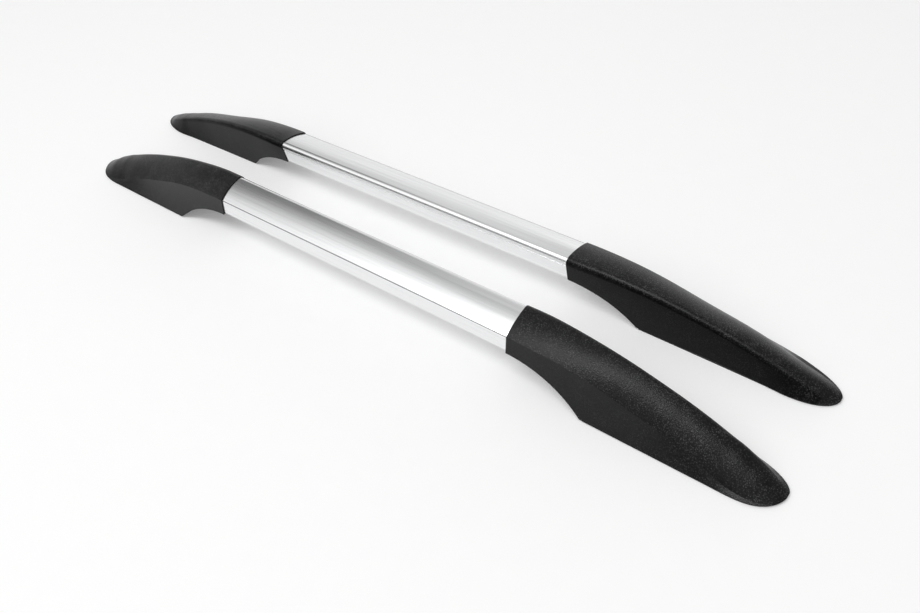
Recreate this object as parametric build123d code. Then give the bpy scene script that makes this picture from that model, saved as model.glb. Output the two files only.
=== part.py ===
from build123d import *
from math import cos, hypot, radians, sin, sqrt, tan
import os

os.makedirs("parts", exist_ok=True)

# Frame: +X to the front, +Z up, floor at z = 0. v is measured from a rail's middle towards the other rail.

# Rail bar
half_span = 240.0        # middle of the bar to the cap's mouth
rail_y = 61.5            # middle of the pair to the middle of a rail
under_z = 40.5           # underside of the bar
top_z = 71.7             # top of the crown
crown_r = 83.0           # crown radius
crown_v = 21.0           # where the crown is level
crease_v = -21.2         # outboard crease
under_a = -25.8          # outboard bottom corner
side_b = 23.6            # inboard side at the crown
under_b = 22.0           # inboard bottom corner
ridge_r = 6.5            # rounded inboard ridge
crease_r = 0.8
corner_r = 1.6
groove_z = 62.6          # fine groove under the ridge
groove_r = 0.8
bar_wall = 2.2
bar_in = 45.0            # length of bar inside each cap
web_z = 56.1             # web between the bar's two chambers
web_t = 1.8
port_v = (-10.5, 11.5)   # screw ports on the web
port_r = 2.1
port_wall = 1.6

# End cap
proud = 1.2              # cap surface outside the bar surface
slide = 0.2              # cap sleeve to bar clearance
tip_x = 319.0            # cap mouth to nose
wall = 2.8
stations = (0.0, 20.0, 60.0, 105.0, 150.0, 195.0, 240.0)
nose_turns = (0.0, 16.0, 31.0, 45.0, 58.0, 69.0, 78.0, 84.0)   # sections round the nose, in degrees
nose_x = 258.0           # where the closer sections of the nose start
nose_a = 246.0           # where the outline starts to close, outboard
nose_b = 244.0           # the same, inboard
nose_v = -4.0            # the nose's point
nose_round = 28.0        # rounding of the nose from its top down to the tip
foot_a = -40.0           # outboard foot edge
foot_b = 21.0            # inboard foot edge
crease_line = (15.0, 422.0, 18.0)    # level stretch, bend radius and fall of the crease
crease_out = 5.0e-7      # how fast the crease drifts outboard, by the cube of x
soft_z = 6.0             # how softly the crease and the ridge run down to the pad
ridge_line = (20.0, 600.0, 21.9)     # the same for the inboard ridge
ridge_in = 0.057         # how fast the ridge drifts to the middle
ridge_from = 30.0
ridge_thin = 0.009       # how fast the ridge's rounding shrinks
crown_bulge = 3.4        # crown over its chord
crown_swell = 0.006      # how fast that grows
flare_r = 350.0          # hollow flare of the outboard wall
heel_a = 104.0           # cap mouth to heel, outboard
heel_b = 92.0            # cap mouth to heel, inboard
least_r = 1.0            # smallest rounding of a drawn-in ridge
least_z = 0.3            # least height of a section
rib_t = 2.0
rib_depth = 5.0
rib_x = (145.0, 200.0, 256.0)

# Foot
pad_t = 3.0              # rubber pad
pad_inset = 1.2
plate_t = 5.0
plate_x = (112.0, 228.0)
plate_v = (-26.0, 14.0)
plate_r = 7.0
gusset_v = (-3.0, 5.0)
gusset_top = ((105.0, 51.0), (165.0, 34.0))     # upper edge of the gusset
gusset_low = ((100.0, 18.0), (75.0, 33.0))      # lower edge, over the arch
flange_t = 5.0
flange_inset = 3.4
tongue_x = 15.0
tongue_z = 51.2
tongue_v = 16.0

# Fasteners
nut_at = ((132.0, -16.0), (214.0, -16.0))
nut_flats = 10.0
nut_h = 5.0
nut_bore_r = 2.5
nut_floor = 2.0
nut_gap = 0.15
stud_hole_r = 3.3
pad_hole_r = 5.5
cap_screw_at = ((176.0, -19.0), (190.0, 9.6))
cap_screw_r = 1.9
cap_head_r = 3.8
cap_head_h = 2.2
cap_screw_l = 15.0
boss_r = 4.0
port_screw_r = 2.05
port_head_r = 3.9
port_head_h = 2.6
port_screw_l = 22.0
hole_gap = 0.25
socket_af = 3.0
socket_d = 1.4

crown_z = top_z - crown_r


def at(x, v, z):
    """A point of the right rail's front end: x from the cap's mouth."""
    return Vector(half_span + x, v - rail_y, z)


def crown(v, grow=0.0):
    """Height of the crown circle at v, grown by a radial amount."""
    return crown_z + sqrt((crown_r + grow) ** 2 - (v - crown_v) ** 2)


def along(face, length):
    return extrude(face, amount=length, dir=(1, 0, 0))


def drill(x, v, radius, low, high):
    """Upright cylinder at a point of the foot."""
    place = Plane(origin=at(x, v, low))
    return extrude(place * Circle(radius), amount=high - low)


def block(x, v, z):
    """Box from three pairs of limits."""
    place = Plane(origin=at(x[0], v[0], z[0]))
    return place * Box(x[1] - x[0], v[1] - v[0], z[1] - z[0], align=(Align.MIN, Align.MIN, Align.MIN))


# Bar section: straight sides, crown arc, filleted corners
def bar_face(x, amount=0.0):
    crease = (crease_v, crown(crease_v))
    ridge = (side_b, crown(side_b))
    mid_v = (crease_v + side_b) / 2
    edges = [
        Line(at(x, under_a, under_z), at(x, *crease)),
        ThreePointArc(at(x, *crease), at(x, mid_v, crown(mid_v)), at(x, *ridge)),
        Line(at(x, *ridge), at(x, under_b, under_z)),
        Line(at(x, under_b, under_z), at(x, under_a, under_z)),
    ]
    face = Face(Wire(edges))
    corner = lambda v, z: [p for p in face.vertices() if (p.center() - at(x, v, z)).length < 0.01]
    face = face.fillet_2d(ridge_r, corner(*ridge))
    face = face.fillet_2d(crease_r, corner(*crease))
    face = face.fillet_2d(corner_r, corner(under_a, under_z) + corner(under_b, under_z))
    if amount:
        face = Face(face.outer_wire().offset_2d(amount))
    return face


def groove_v():
    """Inboard side at the groove's height."""
    share = (groove_z - under_z) / (crown(side_b) - under_z)
    return under_b + share * (side_b - under_b)


def make_bar():
    start = -2 * half_span - bar_in
    length = 2 * (half_span + bar_in)
    body = along(bar_face(start), length)
    hollow = along(bar_face(start, -bar_wall), length)
    web = block((start, bar_in), (-40, 40), (web_z - web_t / 2, web_z + web_t / 2))
    hollow -= web
    aside = Plane(origin=at(start, 0, web_z), x_dir=(0, 1, 0), z_dir=(1, 0, 0))
    for v in port_v:
        hollow -= extrude(aside * Pos(v, 0) * Circle(port_r + port_wall), amount=length)
    body -= hollow
    for v in port_v:
        body -= extrude(aside * Pos(v, 0) * Circle(port_r), amount=length)
    body -= extrude(aside * Pos(groove_v(), groove_z - web_z) * Circle(groove_r), amount=length)
    return body


def fall(x, line):
    """Drop of a line that starts level, bends and then falls straight."""
    level, bend_r, slope = line
    turn = radians(slope)
    bend_x = level + bend_r * sin(turn)
    if x <= level:
        return 0.0
    if x <= bend_x:
        return bend_r - sqrt(bend_r ** 2 - (x - level) ** 2)
    return bend_r * (1 - cos(turn)) + (x - bend_x) * tan(turn)


def soft(height):
    """A height that runs out softly just over the pad."""
    over = height - pad_t
    return pad_t + (over + hypot(over, soft_z)) / 2


def closing(x, start, tip):
    """Share left of a width that closes like an ellipse from a start to the tip."""
    if x <= start:
        return 1.0
    return sqrt(1 - ((x - start) / (tip - start)) ** 2)


# Section of the cap: flared outboard wall, crease, crown, rounded ridge, inboard wall
def cap_face(x, inset):
    tip = tip_x - inset
    close_a = closing(x, nose_a, tip)
    close_b = closing(x, nose_b, tip)
    lower = closing(x, tip - nose_round, tip)

    def drawn(v):
        return nose_v + (v - nose_v) * (close_a if v < nose_v else close_b)

    base = pad_t - inset / 2

    def lowered(height):
        return max(pad_t + (soft(height) - pad_t) * lower - inset, base + least_z)

    crease_z = lowered(crown(crease_v) + proud - fall(x, crease_line))
    crease = (drawn(crease_v - proud - crease_out * x ** 3 + inset), crease_z)
    ridge_z = lowered(crown(side_b) + proud - fall(x, ridge_line))
    ridge = (drawn(side_b + proud - ridge_in * max(0.0, x - ridge_from) - inset), ridge_z)
    edge_a = (drawn(foot_a + inset), base)
    edge_b = (drawn(foot_b - inset), base)
    rise = crease_z - base
    chord = hypot(crease[0] - edge_a[0], rise)
    hollow = chord ** 2 / (8 * flare_r)
    mid_a = ((crease[0] + edge_a[0]) / 2 + hollow * rise / chord,
             base + rise / 2 - hollow * (crease[0] - edge_a[0]) / chord)
    span = hypot(ridge[0] - crease[0], ridge[1] - crease[1])
    bulge = (crown_bulge + crown_swell * x) * close_a * lower
    mid = ((crease[0] + ridge[0]) / 2 - bulge * (ridge[1] - crease[1]) / span,
           (crease[1] + ridge[1]) / 2 + bulge * (ridge[0] - crease[0]) / span)
    edges = [
        ThreePointArc(at(x, *edge_a), at(x, *mid_a), at(x, *crease)),
        ThreePointArc(at(x, *crease), at(x, *mid), at(x, *ridge)),
        Line(at(x, *ridge), at(x, *edge_b)),
        Line(at(x, *edge_b), at(x, *edge_a)),
    ]
    face = Face(Wire(edges))
    corner = [p for p in face.vertices() if (p.center() - at(x, *ridge)).length < 0.01]
    radius = max(ridge_r + proud - ridge_thin * x - inset, least_r)
    return face.fillet_2d(radius * min(close_a, close_b, lower), corner)


# Arch behind the heel: a slanted cone under the cap's mouth
def arch(inset):
    top = under_z - proud
    rings = []
    for v in (-70.0, 50.0):
        share = (v - foot_a) / (foot_b - foot_a)
        heel = heel_a + share * (heel_b - heel_a)
        radius = (heel ** 2 + top ** 2) / (2 * top)
        ring = Plane(origin=at(0, v, top - radius), x_dir=(1, 0, 0), z_dir=(0, 1, 0)) * Circle(radius + inset)
        rings.append(ring.wire())
    return Solid.make_loft(rings, ruled=True)


# Cap form drawn in by an inset
def cap_form(inset):
    reach = tip_x - inset - nose_x
    places = list(stations) + [nose_x + reach * sin(radians(turn)) for turn in nose_turns]
    form = Solid.make_loft([cap_face(x, inset).outer_wire() for x in places])
    return form - arch(inset)


def make_cap():
    form = cap_form(0.0)
    hollow = cap_form(wall)
    hollow -= block((-60, bar_in + slide), (-120, 90), (-260, 150))
    plate_top = pad_t + plate_t
    for x in rib_x:
        drop = (fall(x, crease_line) + fall(x, ridge_line)) / 2
        low = (crown(crease_v) + crown(side_b)) / 2 + crown_bulge - drop - wall - rib_depth
        hollow -= block((x, x + rib_t), (-120, 90), (low, 150))
    for x, v in cap_screw_at:
        hollow -= drill(x, v, boss_r, plate_top, 100)
        hollow += drill(x, v, cap_screw_r + hole_gap / 5, plate_top, pad_t + cap_head_h + cap_screw_l + 2)
    form -= hollow
    form -= along(bar_face(-1, slide), bar_in + slide + 1)
    return form


def make_bracket():
    plate_top = pad_t + plate_t
    middle = ((plate_x[0] + plate_x[1]) / 2, (plate_v[0] + plate_v[1]) / 2)
    floor = Plane(origin=at(middle[0], middle[1], pad_t))
    plate = RectangleRounded(plate_x[1] - plate_x[0], plate_v[1] - plate_v[0], plate_r)
    bracket = extrude(floor * plate, amount=plate_t)
    side = Plane(origin=at(0, gusset_v[0], 0), x_dir=(1, 0, 0), z_dir=(0, -1, 0))
    outline = Polyline(
        (bar_in + 1, tongue_z - 5), (bar_in + 1, web_z + 4), *gusset_top,
        (plate_x[1] - 8, plate_top + 3), (plate_x[1] - 8, plate_top - 1), (plate_x[0] + 3, plate_top - 1),
        *gusset_low, close=True)
    bracket += extrude(side * make_face(outline), amount=-(gusset_v[1] - gusset_v[0]))
    bracket += along(bar_face(bar_in, -flange_inset), flange_t)
    bracket += block((tongue_x, bar_in + 1), (-tongue_v, tongue_v), (under_z + bar_wall, tongue_z))
    ahead = Plane(origin=at(bar_in - 1, 0, web_z), x_dir=(0, 1, 0), z_dir=(1, 0, 0))
    for v in port_v:
        bracket -= extrude(ahead * Pos(v, 0) * Circle(port_r + hole_gap), amount=flange_t + 2)
        bracket -= extrude(ahead * Pos(v, 0, flange_t + 1) * Circle(port_head_r + 1), amount=60)
    for x, v in nut_at:
        bracket -= drill(x, v, stud_hole_r, 0, 20)
        seat = Plane(origin=at(x, v, pad_t + nut_floor))
        bracket -= extrude(seat * RegularPolygon(nut_flats / 2 + nut_gap, 6, major_radius=False), amount=20)
    for x, v in cap_screw_at:
        bracket -= drill(x, v, cap_screw_r + hole_gap, 0, plate_top + 1)
        bracket -= drill(x, v, cap_head_r + hole_gap, 0, pad_t + cap_head_h)
    return bracket


# Pad under the foot: straight sides, a nose of two quarter ellipses
def make_pad():
    edge_a = foot_a + pad_inset - rail_y
    edge_b = foot_b - pad_inset - rail_y
    middle = nose_v - rail_y
    turn_a = half_span + nose_a
    turn_b = half_span + nose_b
    tip = half_span + tip_x - pad_inset
    heel = [(half_span + heel_a, edge_a), (half_span + heel_b, edge_b)]
    edges = [
        Line(heel[0], (turn_a, edge_a)),
        EllipticalCenterArc((turn_a, middle), tip - turn_a, middle - edge_a, -90, arc_size=90),
        EllipticalCenterArc((turn_b, middle), tip - turn_b, edge_b - middle, 0, arc_size=90),
        Line((turn_b, edge_b), heel[1]),
        Line(heel[1], heel[0]),
    ]
    pad = extrude(make_face(edges), amount=pad_t)
    for x, v in nut_at:
        pad -= drill(x, v, pad_hole_r, -1, pad_t + 1)
    for x, v in cap_screw_at:
        pad -= drill(x, v, cap_head_r + 1, -1, pad_t + 1)
    return pad


def make_nuts():
    nuts = []
    for x, v in nut_at:
        seat = Plane(origin=at(x, v, pad_t + nut_floor))
        nut = extrude(seat * RegularPolygon(nut_flats / 2, 6, major_radius=False), amount=nut_h)
        nuts.append(nut - drill(x, v, nut_bore_r, 0, 20))
    return nuts


def screw(place, shank_r, length, head_r, head_h):
    """Socket screw: place is on the seat, its normal points along the shank."""
    shank = extrude(place * Circle(shank_r), amount=length)
    head = extrude(place * Circle(head_r), amount=-head_h)
    head = chamfer(head.faces().sort_by(Axis(place.origin, place.z_dir))[0].edges(), head_h / 4)
    socket = place.offset(-head_h) * RegularPolygon(socket_af / 2, 6, major_radius=False)
    return shank + head - extrude(socket, amount=socket_d)


def make_port_screws():
    screws = []
    for v in port_v:
        seat = Plane(origin=at(bar_in + flange_t, v, web_z), x_dir=(0, 1, 0), z_dir=(-1, 0, 0))
        screws.append(screw(seat, port_screw_r, port_screw_l, port_head_r, port_head_h))
    return screws


def make_cap_screws():
    screws = []
    for x, v in cap_screw_at:
        seat = Plane(origin=at(x, v, pad_t + cap_head_h))
        screws.append(screw(seat, cap_screw_r, cap_screw_l, cap_head_r, cap_head_h))
    return screws


def write(name, solids):
    group = solids[0] if len(solids) == 1 else Compound(children=solids)
    export_step(group, "parts/" + name + ".step")


def solids_of(shape):
    return list(shape.solids())


# Front end of the right rail; the other three ends are its mirror images
end = {
    "cap": solids_of(make_cap()),
    "bracket": solids_of(make_bracket()),
    "gasket": solids_of(make_pad()),
    "nuts": [s for n in make_nuts() for s in solids_of(n)],
    "flange_screws": [s for n in make_port_screws() for s in solids_of(n)],
    "cap_screws": [s for n in make_cap_screws() for s in solids_of(n)],
}
bar = solids_of(make_bar())
for side, flip in (("right", False), ("left", True)):
    across_pair = lambda s: mirror(s, about=Plane.XZ) if flip else s
    write("rail_" + side, [across_pair(s) for s in bar])
    for name, solids in end.items():
        write(f"{name}_{side}_front", [across_pair(s) for s in solids])
        write(f"{name}_{side}_rear", [across_pair(mirror(s, about=Plane.YZ)) for s in solids])
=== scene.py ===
from math import pi, radians

import bpy
import numpy as np
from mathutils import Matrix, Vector


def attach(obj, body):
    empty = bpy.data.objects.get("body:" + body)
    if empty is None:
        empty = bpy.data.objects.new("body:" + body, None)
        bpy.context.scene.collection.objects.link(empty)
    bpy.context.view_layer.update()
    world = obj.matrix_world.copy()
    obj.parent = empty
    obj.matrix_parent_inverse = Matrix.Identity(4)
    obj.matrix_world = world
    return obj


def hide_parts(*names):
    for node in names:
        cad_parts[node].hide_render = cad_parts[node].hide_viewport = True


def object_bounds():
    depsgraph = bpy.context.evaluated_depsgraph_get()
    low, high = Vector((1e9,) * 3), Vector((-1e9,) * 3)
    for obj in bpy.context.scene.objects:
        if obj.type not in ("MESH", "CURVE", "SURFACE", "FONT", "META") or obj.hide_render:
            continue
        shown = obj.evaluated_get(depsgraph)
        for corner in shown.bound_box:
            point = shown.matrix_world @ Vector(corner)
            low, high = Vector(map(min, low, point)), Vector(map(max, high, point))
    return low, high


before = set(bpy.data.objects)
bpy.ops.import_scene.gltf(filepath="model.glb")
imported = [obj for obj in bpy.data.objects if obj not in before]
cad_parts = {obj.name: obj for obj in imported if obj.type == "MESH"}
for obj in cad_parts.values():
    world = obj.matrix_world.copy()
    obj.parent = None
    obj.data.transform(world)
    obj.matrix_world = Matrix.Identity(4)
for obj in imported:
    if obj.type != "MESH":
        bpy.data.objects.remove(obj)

cad_low, cad_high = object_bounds()
scene = bpy.context.scene
scene.view_settings.view_transform = "Standard"


class Nodes:
    """The node tree of a material or a world, with short ways to fill it."""

    def __init__(self, owner):
        owner.use_nodes = True
        self.tree = owner.node_tree
        self.tree.nodes.clear()

    def put(self, socket, value):
        """Links a socket to another one, or sets it to a plain value."""
        if isinstance(value, bpy.types.NodeSocket):
            self.tree.links.new(value, socket)
        else:
            socket.default_value = value

    def add(self, kind, **inputs):
        """A new node, with its inputs set by name."""
        node = self.tree.nodes.new(kind)
        for name, value in inputs.items():
            self.put(node.inputs[name.replace("_", " ")], value)
        return node

    def calc(self, operation, *values):
        node = self.tree.nodes.new("ShaderNodeMath")
        node.operation = operation
        for socket, value in zip(node.inputs, values):
            self.put(socket, value)
        return node.outputs["Value"]

    def over_object(self, stretch):
        """Object coordinates, stretched along each axis."""
        where = self.add("ShaderNodeTexCoord").outputs["Object"]
        return self.add("ShaderNodeMapping", Vector=where, Scale=stretch).outputs["Vector"]

    def noise(self, scale, detail, stretch=(1, 1, 1), **more):
        place = self.over_object(stretch)
        return self.add("ShaderNodeTexNoise", Vector=place, Scale=scale, Detail=detail, **more).outputs["Fac"]

    def ramp(self, value, stops):
        """Colour of a value between stops, each with its place and its colour."""
        node = self.add("ShaderNodeValToRGB", Fac=value)
        elements = node.color_ramp.elements
        while len(elements) < len(stops):
            elements.new(0.5)
        for element, (place, colour) in zip(elements, stops):
            element.position = place
            element.color = (*colour, 1)
        return node.outputs["Color"]

    def two_tone(self, value, dark, pale):
        """Tint that runs between two colours over the middle of a noise."""
        return self.ramp(value, [(0.3, dark), (0.7, pale)])

    def grey(self, value, stops):
        return self.ramp(value, [(place, (level, level, level)) for place, level in stops])

    def spread(self, value, low, high, **source):
        """A value brought into a new range."""
        node = self.add("ShaderNodeMapRange", Value=value, To_Min=low, To_Max=high, **source)
        return node.outputs["Result"]

    def bump(self, height, strength, depth):
        return self.add("ShaderNodeBump", Height=height, Strength=strength, Distance=depth).outputs["Normal"]

    def end_material(self, shader):
        self.add("ShaderNodeOutputMaterial", Surface=shader)

    def surface(self, **inputs):
        """Ends a material in one shader."""
        self.end_material(self.add("ShaderNodeBsdfPrincipled", **inputs).outputs["BSDF"])


def new_material(name):
    material = bpy.data.materials.new(name)
    return material, Nodes(material)


def new_object(name, mesh):
    piece = bpy.data.objects.new(name, mesh)
    scene.collection.objects.link(piece)
    return piece


DRAWN = (6, 420, 420)          # stretches a noise into lines along the bar


# Satin aluminium: drawn lines along the bar
def satin_aluminium():
    material, nodes = new_material("satin_aluminium")
    lines = nodes.noise(scale=1.0, detail=5.0, stretch=DRAWN, Roughness=0.65)
    cloud = nodes.noise(scale=1.0, detail=3.0, stretch=(14, 60, 60))
    nodes.surface(Base_Color=nodes.two_tone(lines, dark=(0.83, 0.835, 0.84), pale=(0.93, 0.935, 0.94)),
                  Metallic=1.0,
                  Roughness=nodes.spread(cloud, low=0.20, high=0.27),
                  Normal=nodes.bump(lines, strength=0.05, depth=0.0002))
    return material


# Black moulded plastic: pebble grain on the faces that look up, finer on the walls. The faces that look up
# also get a paler tint with bright specks: real grain tone with painted sheen and painted glints of the light
# from above.
PEBBLE_SCALE = 620.0
PEBBLE_HEIGHT = -0.8           # by the distance from a pebble's middle
CLOUD_SHARE = 0.5              # part of the broad mottling in the tint
SMOOTH_TINT = ((0.2, (0.003, 0.003, 0.0032)), (0.9, (0.008, 0.008, 0.0083)))
# paler tint of the upward faces: grain tone with painted sheen, its brightest specks painted glints
PEBBLED_TINT_AND_SHEEN = ((0.2, (0.003, 0.003, 0.0032)), (0.5, (0.014, 0.014, 0.0145)), (0.75, (0.085, 0.085, 0.086)))
WALL_Z, CROWN_Z = 0.35, 0.75   # upward part of the normal between which the grain comes in


def grained_plastic(name, gloss):
    material, nodes = new_material(name)
    pebbles = nodes.add("ShaderNodeTexVoronoi", Vector=nodes.over_object((1, 1, 1)), Scale=PEBBLE_SCALE)
    fine = nodes.noise(scale=1100.0, detail=3.0)
    cloud = nodes.noise(scale=55.0, detail=4.0)
    height = nodes.calc("MULTIPLY_ADD", pebbles.outputs["Distance"], PEBBLE_HEIGHT, fine)
    grain = nodes.calc("MULTIPLY_ADD", cloud, CLOUD_SHARE, height)
    normal = nodes.add("ShaderNodeNewGeometry").outputs["Normal"]
    upward = nodes.add("ShaderNodeSeparateXYZ", Vector=normal).outputs["Z"]
    # grain and painted sheen fade in on the faces that look up
    grain_and_sheen = nodes.spread(upward, low=0.2, high=0.9, From_Min=WALL_Z, From_Max=CROWN_Z)
    tint = nodes.add("ShaderNodeMixRGB", Fac=grain_and_sheen, Color1=nodes.ramp(grain, SMOOTH_TINT),
                     Color2=nodes.ramp(grain, PEBBLED_TINT_AND_SHEEN))
    nodes.surface(Base_Color=tint.outputs["Color"],
                  Roughness=nodes.spread(fine, low=0.27, high=0.36),
                  Specular_IOR_Level=gloss,
                  Normal=nodes.bump(height, strength=grain_and_sheen, depth=0.0002))
    return material


# Cast alloy: dull, with a sandy skin
def cast_alloy():
    material, nodes = new_material("cast_alloy")
    sand = nodes.noise(scale=700.0, detail=5.0)
    nodes.surface(Base_Color=nodes.two_tone(sand, dark=(0.42, 0.43, 0.44), pale=(0.56, 0.57, 0.58)),
                  Metallic=1.0,
                  Roughness=0.5,
                  Normal=nodes.bump(sand, strength=0.3, depth=0.0005))
    return material


# Pad rubber: matt black with a fine bloom
def pad_rubber():
    material, nodes = new_material("pad_rubber")
    cloud = nodes.noise(scale=320.0, detail=5.0)
    nodes.surface(Base_Color=nodes.two_tone(cloud, dark=(0.016, 0.016, 0.017), pale=(0.026, 0.026, 0.027)),
                  Roughness=0.78,
                  Normal=nodes.bump(cloud, strength=0.15, depth=0.0005))
    return material


# Zinc-plated steel
def plated_steel():
    material, nodes = new_material("plated_steel")
    cloud = nodes.noise(scale=420.0, detail=4.0)
    nodes.surface(Base_Color=nodes.two_tone(cloud, dark=(0.50, 0.51, 0.53), pale=(0.62, 0.62, 0.63)),
                  Metallic=1.0,
                  Roughness=nodes.spread(cloud, low=0.25, high=0.42))
    return material


# Painted shade: dark streaked metal for the fine line on the bar's crease, standing for the dark reflection
# in the crease's rounding
def crease_shade_look():
    material, nodes = new_material("crease_shade_look")
    streaks = nodes.noise(scale=1.0, detail=4.0, stretch=DRAWN)
    nodes.surface(Base_Color=nodes.two_tone(streaks, dark=(0.13, 0.13, 0.135), pale=(0.20, 0.20, 0.205)),
                  Metallic=1.0,
                  Roughness=0.45,
                  Normal=nodes.bump(streaks, strength=0.1, depth=0.0002))
    return material


# Pale floor: white to the camera and to reflections, with the object's shadow on it
FLOOR_LIFT = 0.20              # added where the camera or a reflection sees the floor


def pale_floor():
    material, nodes = new_material("pale_floor")
    path = nodes.add("ShaderNodeLightPath").outputs
    mirrored = nodes.calc("MAXIMUM", path["Is Glossy Ray"], path["Is Transmission Ray"])
    seen = nodes.calc("MAXIMUM", path["Is Camera Ray"], mirrored)
    speck = nodes.noise(scale=40.0, detail=3.0)
    tint = nodes.two_tone(speck, dark=(0.84, 0.84, 0.84), pale=(0.85, 0.85, 0.85))
    diffuse = nodes.add("ShaderNodeBsdfDiffuse", Color=tint)
    glow = nodes.add("ShaderNodeEmission", Strength=nodes.calc("MULTIPLY", seen, FLOOR_LIFT))
    both = nodes.add("ShaderNodeAddShader")
    nodes.put(both.inputs[0], diffuse.outputs["BSDF"])
    nodes.put(both.inputs[1], glow.outputs["Emission"])
    nodes.end_material(both.outputs["Shader"])
    return material


STEEL = plated_steel()
# painted shade for the dark reflection along the bars' creases
CREASE_SHADE_LOOK = crease_shade_look()
# Painted shade: a duller copy of the cap plastic for the cap walls that face the other rail
SHADED_WALL_PLASTIC = grained_plastic("painted_shade_plastic", gloss=0.085)     # cap walls that face the other rail
LOOKS = {
    "rail": satin_aluminium(),
    "cap": grained_plastic("grained_plastic", gloss=0.25),
    "bracket": cast_alloy(),
    "gasket": pad_rubber(),
    "flange_screws": STEEL,
    "cap_screws": STEEL,
    "nuts": STEEL,
}

# End caps and pads as the photograph shows them: the CAD shells with a fuller, rounder nose.
# x runs from the cap's mouth to the tip, v from the rail's middle towards the other rail, in metres.
# Outboard is named A and inboard B.
MOUTH_X = 0.240
RAIL_Y = 0.0615
PAD_TOP = 0.003
TIP_X = 0.319
NOSE_V = -0.004                              # the nose's point
EDGE_A = -0.040                              # foot edge, outboard
EDGE_B = 0.021                               # foot edge, inboard
CAD_CLOSES = (0.246, 0.244)                  # where the CAD nose starts to close, A and B
CLOSES = {"right": (0.260, 0.253), "left": (0.190, 0.262)}     # where the new nose does
DRIFT = {"right": -0.005, "left": 0.005}     # how far the nose leans to one side at its tip
DRIFT_FROM = 0.185
EDGE_FADE = 0.004                            # an outboard lean fades out at the foot edge
SWELL_A = (0.0030, 0.134, 0.225, 0.312)      # rise of the crown: height, start, top, end
SWELL_B = (0.0038, 0.200, 0.285, 0.325)
SWELL_SOFT = 0.0025                          # height over the pad in which the rise sets in
HILL = 6.75                                  # makes the top of t (1 - t) (1 - t) one
STEP = 1e-5                                  # small step for slopes
WALL_FACES = 0.6                             # least part of a wall's normal towards the other rail


def inward_sign(side):
    """Which way along y the other rail is."""
    return 1 if side == "right" else -1


def eased(x, start, end):
    t = np.clip((x - start) / (end - start), 0, 1)
    return t * t * (3 - 2 * t)


def closing(x, start):
    """Share left of a width that closes like an ellipse from a start to the tip."""
    t = np.clip((np.minimum(x, TIP_X - STEP) - start) / (TIP_X - start), 0, 1)
    return np.sqrt(1 - t * t)


def swell(x, line):
    height, start, top, end = line
    return height * eased(x, start, top) * (1 - eased(x, top, end))


def rounded_nose(points, side, end):
    """Points of an end with its nose drawn fuller."""
    ahead = 1 if end == "front" else -1
    inward = inward_sign(side)
    x = points[:, 0] * ahead - MOUTH_X
    v = points[:, 1] * inward + RAIL_Y
    z = points[:, 2]
    close_a, close_b = (closing(x, start) for start in CLOSES[side])
    was_a, was_b = (closing(x, start) for start in CAD_CLOSES)
    v = NOSE_V + (v - NOSE_V) * np.where(v < NOSE_V, close_a / was_a, close_b / was_b)
    low = NOSE_V + (EDGE_A - NOSE_V) * close_a
    high = NOSE_V + (EDGE_B - NOSE_V) * close_b
    across = np.clip((v - low) / (high - low), 0, 1)
    rise = swell(x, SWELL_A) * HILL * across * (1 - across) ** 2
    rise = rise + swell(x, SWELL_B) * HILL * across ** 2 * (1 - across)
    rise = rise * (1 - np.exp(-np.maximum(z - PAD_TOP, 0) / SWELL_SOFT))
    lean = DRIFT[side] * eased(x, DRIFT_FROM, TIP_X)
    if DRIFT[side] < 0:
        lean = lean * (1 - np.exp(-np.maximum(v - EDGE_A, 0) / EDGE_FADE))
    return np.stack([(x + MOUTH_X) * ahead, (v + lean - RAIL_Y) * inward, z + rise], axis=1)


def nosed_piece(node, name, side, end):
    """A new piece from a node's shell with the rounded nose, and normals that follow."""
    def shape(places):
        return rounded_nose(places, side, end)

    mesh = node.data.copy()
    mesh.name = name
    points = np.empty(3 * len(mesh.vertices))
    mesh.vertices.foreach_get("co", points)
    points = points.reshape(-1, 3)
    normals = np.empty(3 * len(mesh.loops))
    mesh.corner_normals.foreach_get("vector", normals)
    corner = np.empty(len(mesh.loops), dtype=np.int32)
    mesh.loops.foreach_get("vertex_index", corner)
    slopes = np.stack([(shape(points + step) - shape(points - step)) / (2 * STEP)
                       for step in STEP * np.eye(3)], axis=2)
    turned = np.linalg.inv(slopes)[corner]
    normals = np.einsum("nji,nj->ni", turned, normals.reshape(-1, 3))
    normals /= np.linalg.norm(normals, axis=1)[:, None]
    mesh.vertices.foreach_set("co", np.clip(shape(points), cad_low, cad_high).ravel())
    mesh.update()
    mesh.normals_split_custom_set(normals.tolist())
    return new_object(name, mesh)


def shade_inner_walls(mesh, side):
    """Gives the walls that face the other rail a duller copy of the plastic: painted shade, standing for the
    shaded floor between the rails that they reflect.
    """
    normals = np.empty(3 * len(mesh.polygons))
    mesh.polygons.foreach_get("normal", normals)
    inward = normals.reshape(-1, 3)[:, 1] * inward_sign(side)
    mesh.materials.append(SHADED_WALL_PLASTIC)
    mesh.polygons.foreach_set("material_index", (inward > WALL_FACES).astype(np.int32))
    mesh.update()


ENDINGS = ("_right_front", "_right_rear", "_left_front", "_left_rear", "_right", "_left")
NOSED = {"cap": ("end_cap", "cap_plastic"), "gasket": ("foot_pad", "pad_rubber")}
for name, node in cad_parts.items():
    ending = next(ending for ending in ENDINGS if name.endswith(ending))
    kind = name[:-len(ending)]
    node.data.materials.clear()
    node.data.materials.append(LOOKS[kind])
    if kind in NOSED:
        title, slot = NOSED[kind]
        side, end = ending[1:].split("_")
        piece = nosed_piece(node, title + ending, side, end)
        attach(piece, "root")
        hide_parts(name)
        # the inboard walls get the painted shade
        if kind == "cap":
            shade_inner_walls(piece.data, side)

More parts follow.
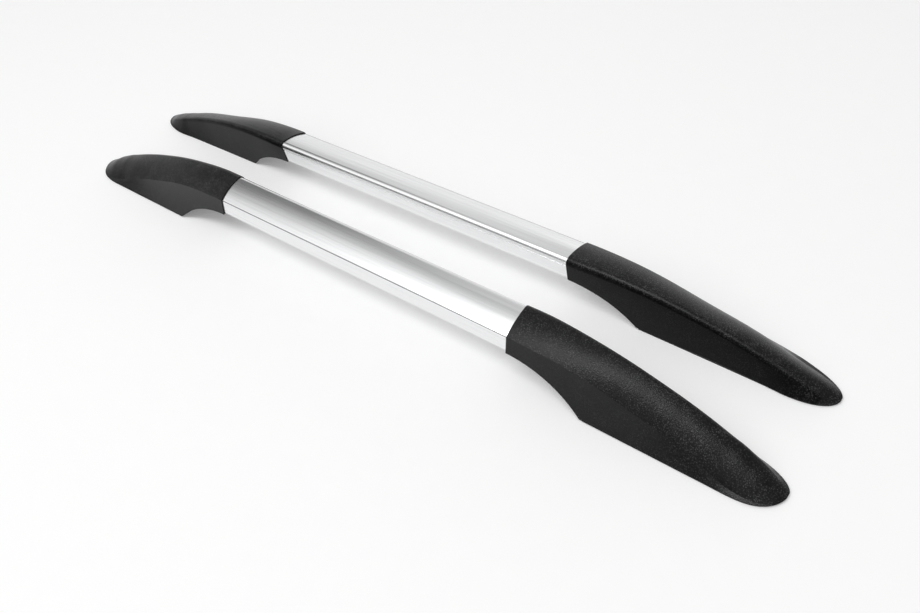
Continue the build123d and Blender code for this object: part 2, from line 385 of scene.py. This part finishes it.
# Painted shade: a fine dark line along the outboard crease of each bar, a flat bead let into the edge where
# the crease's rounding shows a dark reflection
LINE_AT = (-0.02102, 0.06007)          # v and z of its middle
LINE_OUT = (-0.806, 0.592)             # outward from the edge
LINE_HALF = (0.00055, 0.00026)         # half its width and height
LINE_END = 0.243                       # runs a little way into the caps
LINE_SIDES = 12
LINE_STATIONS = 61


def painted_crease_shade(side):
    inward = inward_sign(side)
    half_w, half_h = LINE_HALF
    out_v, out_z = LINE_OUT
    turns = np.linspace(0, 2 * pi, LINE_SIDES, endpoint=False)
    v = LINE_AT[0] + half_w * np.cos(turns) * out_z + half_h * np.sin(turns) * out_v
    z = LINE_AT[1] - half_w * np.cos(turns) * out_v + half_h * np.sin(turns) * out_z
    points = [(x, (a - RAIL_Y) * inward, b)
              for x in np.linspace(-LINE_END, LINE_END, LINE_STATIONS) for a, b in zip(v, z)]
    last = (LINE_STATIONS - 1) * LINE_SIDES
    faces = []
    for low in range(0, last, LINE_SIDES):
        high = low + LINE_SIDES
        for j in range(LINE_SIDES):
            k = (j + 1) % LINE_SIDES
            faces.append((low + j, low + k, high + k, high + j)[::inward])
    faces.append(tuple(range(LINE_SIDES))[::-inward])
    faces.append(tuple(range(last, last + LINE_SIDES))[::inward])
    mesh = bpy.data.meshes.new("painted_crease_shade_" + side)
    mesh.from_pydata(points, [], faces)
    mesh.polygons.foreach_set("use_smooth", [len(face) == 4 for face in faces])
    mesh.materials.append(CREASE_SHADE_LOOK)
    return new_object("painted_crease_shade_" + side, mesh)


for side in ("right", "left"):
    piece = painted_crease_shade(side)
    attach(piece, "root")

# Floor
FLOOR_HALF = 12.0
corners = [(x * FLOOR_HALF, y * FLOOR_HALF, 0) for x, y in ((-1, -1), (1, -1), (1, 1), (-1, 1))]
floor_mesh = bpy.data.meshes.new("floor")
floor_mesh.from_pydata(corners, [], [(0, 1, 2, 3)])
floor_mesh.materials.append(pale_floor())
floor = new_object("floor", floor_mesh)

# World: bright walls of a studio tent with a dark gap under its ceiling.
# Each row gives a place, by the turn about the vertical or by height, and the level there.
TURN = ((0.0, 0.40), (0.17, 0.42), (0.30, 0.95), (0.38, 1.10), (0.44, 1.12), (0.475, 1.0), (0.51, 0.72),
        (0.55, 0.50), (0.585, 0.50), (0.62, 0.76), (0.66, 0.72), (0.71, 0.42), (0.80, 0.32), (1.0, 0.40))
HORIZON = ((0.0, 0.30), (0.25, 0.28), (0.33, 0.12), (0.44, 0.12), (0.50, 0.45), (0.56, 0.80), (0.68, 0.95),
           (0.73, 1.30), (0.78, 1.0), (0.84, 0.5), (1.0, 0.30))
GAP_TURN = ((0.42, 0.0), (0.48, 0.70), (0.53, 1.0), (0.575, 1.0), (0.60, 0.7), (0.64, 0.0))
GAP_HEIGHT = ((0.44, 0.0), (0.57, 1.0), (0.69, 1.0), (0.78, 0.0))
GAP_DARK = 0.85
LOW = ((0.30, 1.0), (0.46, 0.0))       # where the horizon's levels hold

world = bpy.data.worlds.new("studio")
scene.world = world
sky = Nodes(world)
direction = sky.add("ShaderNodeTexCoord").outputs["Generated"]
part = sky.add("ShaderNodeSeparateXYZ", Vector=direction).outputs
around = sky.calc("ARCTAN2", part["Y"], sky.calc("MULTIPLY", part["X"], -1.0))
turn = sky.calc("MULTIPLY_ADD", around, 0.5 / pi, 0.5)
gap = sky.calc("MULTIPLY", sky.grey(turn, GAP_TURN), sky.grey(part["Z"], GAP_HEIGHT))
clear = sky.calc("SUBTRACT", 1.0, sky.calc("MULTIPLY", gap, GAP_DARK))
upper = sky.calc("MULTIPLY", sky.grey(turn, TURN), clear)
low = sky.grey(part["Z"], LOW)
above = sky.calc("MULTIPLY", upper, sky.calc("SUBTRACT", 1.0, low))
below = sky.calc("MULTIPLY", sky.grey(turn, HORIZON), low)
back = sky.add("ShaderNodeBackground", Color=(1, 1, 1, 1), Strength=sky.calc("ADD", above, below))
sky.add("ShaderNodeOutputWorld", Surface=back.outputs["Background"])

# One soft box overhead, facing down
BOX_AT = (-0.28, -1.29, 3.95)
BOX_SIZE = (3.4, 1.0)
BOX_TURN = 31                  # degrees about the vertical
BOX_POWER = 70                 # watts
light = bpy.data.lights.new("top_box", "AREA")
light.shape = "RECTANGLE"
light.size, light.size_y = BOX_SIZE
light.energy = BOX_POWER
lamp = new_object("top_box", light)
lamp.location = BOX_AT
lamp.rotation_euler = (0, 0, radians(BOX_TURN))

# Camera at the photograph's place
CAMERA_AT = (0.6448, -0.5232, 0.7745)
CAMERA_LOOKS = (-0.4921, 0.4645, -0.7363)
CAMERA_ROLL = -12.6            # degrees
CAMERA_REACH = 60.0
LENS = 33.25                   # mm
SENSOR = 36.0                  # mm
camera_data = bpy.data.cameras.new("camera")
camera_data.sensor_width = SENSOR
camera_data.lens = LENS
camera_data.clip_end = CAMERA_REACH
camera = new_object("camera", camera_data)
camera.location = CAMERA_AT
camera.rotation_euler = Vector(CAMERA_LOOKS).to_track_quat("-Z", "Y").to_euler()
camera.rotation_euler.rotate_axis("Z", radians(CAMERA_ROLL))
scene.camera = camera
